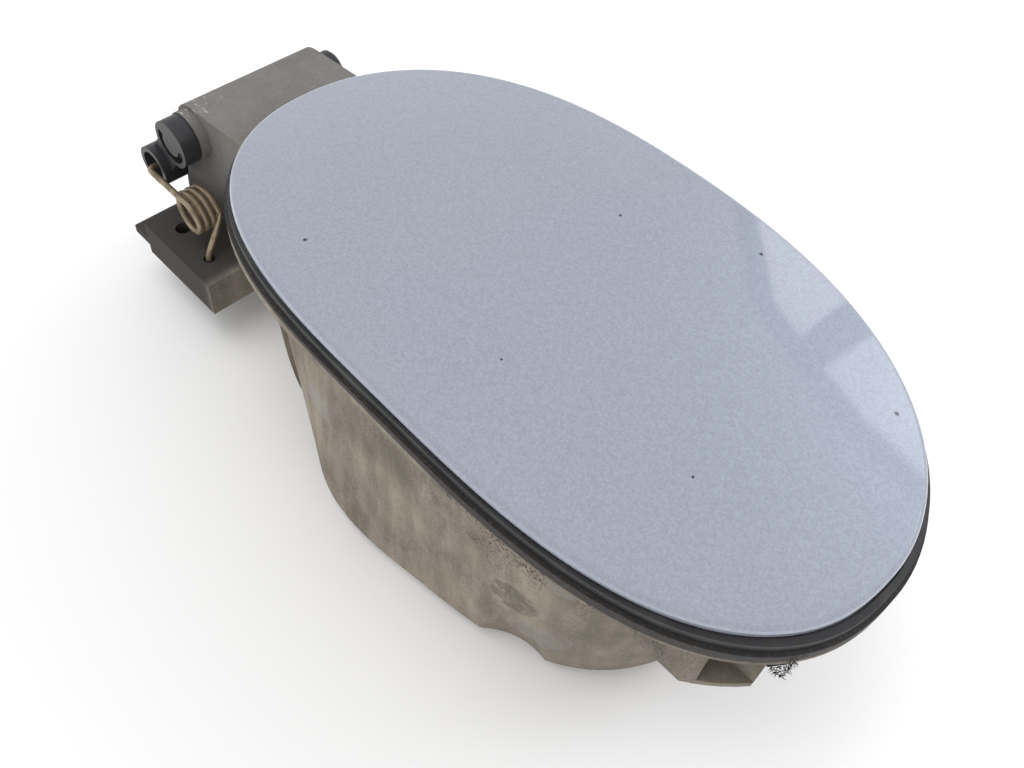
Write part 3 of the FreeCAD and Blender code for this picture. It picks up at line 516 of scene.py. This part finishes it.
# %% [markdown]
# ## Light and floor
#
# The photograph has a bright white table, daylight from above and a window beyond the latch end. The world
# lights everything softly; a large lamp from the window side and one from above shape the plastic. The paint
# doesn't mirror them.

# %% Stage and light
scene = bpy.context.scene
scene.render.resolution_x = 1024
scene.render.resolution_y = 768
scene.view_settings.view_transform = "Standard"

world = bpy.data.worlds.new("daylight")
scene.world = world
world.use_nodes = True
back = world.node_tree.nodes["Background"]
back.inputs["Color"].default_value = (1.0, 1.0, 1.0, 1.0)
back.inputs["Strength"].default_value = 0.88

floor_mesh = bpy.data.meshes.new("table")
SPAN = 6.0
corners = [(-SPAN, -SPAN, 0), (SPAN, -SPAN, 0), (SPAN, SPAN, 0), (-SPAN, SPAN, 0)]
floor_mesh.from_pydata(corners, [], [(0, 1, 2, 3)])
floor = bpy.data.objects.new("table", floor_mesh)
scene.collection.objects.link(floor)
table = bpy.data.materials.new("white_table")
table.use_nodes = True
table_look = table.node_tree.nodes["Principled BSDF"]
table_look.inputs["Base Color"].default_value = (0.97, 0.97, 0.972, 1.0)
table_look.inputs["Roughness"].default_value = 0.7
wear(floor, table)


def lamp(name, place, target, size, power, tint=(1.0, 1.0, 1.0)):
    """Soft square lamp that looks from one place to another."""
    data = bpy.data.lights.new(name, "AREA")
    data.shape = "RECTANGLE"
    data.size, data.size_y = size
    data.energy = power
    data.color = tint
    obj = bpy.data.objects.new(name, data)
    scene.collection.objects.link(obj)
    forward = np.array(target, float) - np.array(place, float)
    forward /= np.linalg.norm(forward)
    side = np.cross(forward, (0.0, 0.0, 1.0))
    side /= np.linalg.norm(side)
    up = np.cross(side, forward)
    axes = np.column_stack([side, up, -forward])
    obj.matrix_world = Matrix([list(axes[r]) + [place[r]] for r in range(3)] + [[0, 0, 0, 1]])
    return obj


AIM = (0.0, 0.0, 0.05)
daylight = lamp("daylight", (0.6, 1.4, 1.1), AIM, (0.9, 0.9), 8.0, (0.97, 0.98, 1.0))
daylight.visible_glossy = False
ceiling = lamp("ceiling", (-0.5, -0.3, 1.8), AIM, (1.2, 1.2), 9.0)
ceiling.visible_glossy = False

# %% [markdown]
# The clear coat mirrors a window beyond the far side: two bright panes, a dark bar over them and a mullion
# between them. They stand where the reflection in the photograph puts them.


# %% Window seen in the paint
WINDOW_Y = 1.6


def card(name, corners, tone):
    """Glowing sheet in the window's plane, from corners (x, z) in metres."""
    mesh = bpy.data.meshes.new(name)
    mesh.from_pydata([(x, WINDOW_Y, z) for x, z in corners], [], [tuple(range(len(corners)))])
    obj = bpy.data.objects.new(name, mesh)
    scene.collection.objects.link(obj)
    look = bpy.data.materials.new(name)
    look.use_nodes = True
    shade = look.node_tree.nodes["Principled BSDF"]
    shade.inputs["Base Color"].default_value = (0.0, 0.0, 0.0, 1.0)
    shade.inputs["Emission Color"].default_value = (*tone, 1.0)
    shade.inputs["Emission Strength"].default_value = 1.0
    wear(obj, look)


PANE = (2.6, 2.65, 2.8)
BAR = (0.30, 0.30, 0.33)
PANE_LEFT = [(-0.42, 1.18), (0.06, 1.00), (0.06, 1.60), (-0.12, 1.55)]
PANE_RIGHT = [(0.22, 0.95), (1.60, 0.95), (1.60, 1.45), (0.85, 1.56), (0.50, 1.66), (0.22, 1.64)]
BAR_LEFT = [(-0.52, 1.20), (-0.42, 1.18), (-0.12, 1.55), (0.06, 1.60), (0.06, 1.74), (-0.20, 1.66)]
BAR_RIGHT = [
    (0.22, 1.64),
    (0.50, 1.66),
    (0.85, 1.56),
    (1.60, 1.45),
    (1.60, 1.58),
    (0.88, 1.70),
    (0.50, 1.80),
    (0.22, 1.78),
]
MULLION = [(0.06, 1.00), (0.22, 0.95), (0.22, 1.78), (0.06, 1.74)]
card("pane_left", PANE_LEFT, PANE)
card("pane_right", PANE_RIGHT, PANE)
card("bar_left", BAR_LEFT, BAR)
card("bar_right", BAR_RIGHT, BAR)
card("mullion", MULLION, BAR)

# %% [markdown]
# ## Camera
#
# The camera was found by fitting the flap's oval edge to its outline in the photograph: azimuth, elevation,
# roll, distance and where the flap's centre falls in the picture.

# %% Camera
AZIMUTH, ELEVATION, ROLL = np.radians([36.805, 48.789, 9.119])
DISTANCE = 0.2568
FOCAL_PX = 1000.0
WIDTH_PX, HEIGHT_PX = 1024, 768
SENSOR_MM = 36.0
CENTRE_PX = (552.7, 286.3)
LOOK_AT = np.array([0.0, 0.0, 0.087])
flat = np.cos(ELEVATION)
backward = np.array([np.sin(AZIMUTH) * flat, -np.cos(AZIMUTH) * flat, np.sin(ELEVATION)])
level = np.array([np.cos(AZIMUTH), np.sin(AZIMUTH), 0.0])
upright = np.cross(backward, level)
right = np.cos(ROLL) * level + np.sin(ROLL) * upright
top = -np.sin(ROLL) * level + np.cos(ROLL) * upright
eye = LOOK_AT + backward * DISTANCE
camera_data = bpy.data.cameras.new("camera")
camera_data.sensor_width = SENSOR_MM
camera_data.lens = FOCAL_PX * SENSOR_MM / WIDTH_PX
camera_data.shift_x = (WIDTH_PX / 2 - CENTRE_PX[0]) / WIDTH_PX
camera_data.shift_y = (CENTRE_PX[1] - HEIGHT_PX / 2) / WIDTH_PX
camera_data.clip_start = 0.01
camera = bpy.data.objects.new("camera", camera_data)
scene.collection.objects.link(camera)
turn = np.column_stack([right, top, backward])
camera.matrix_world = Matrix([list(turn[r]) + [eye[r]] for r in range(3)] + [[0, 0, 0, 1]])
scene.camera = camera
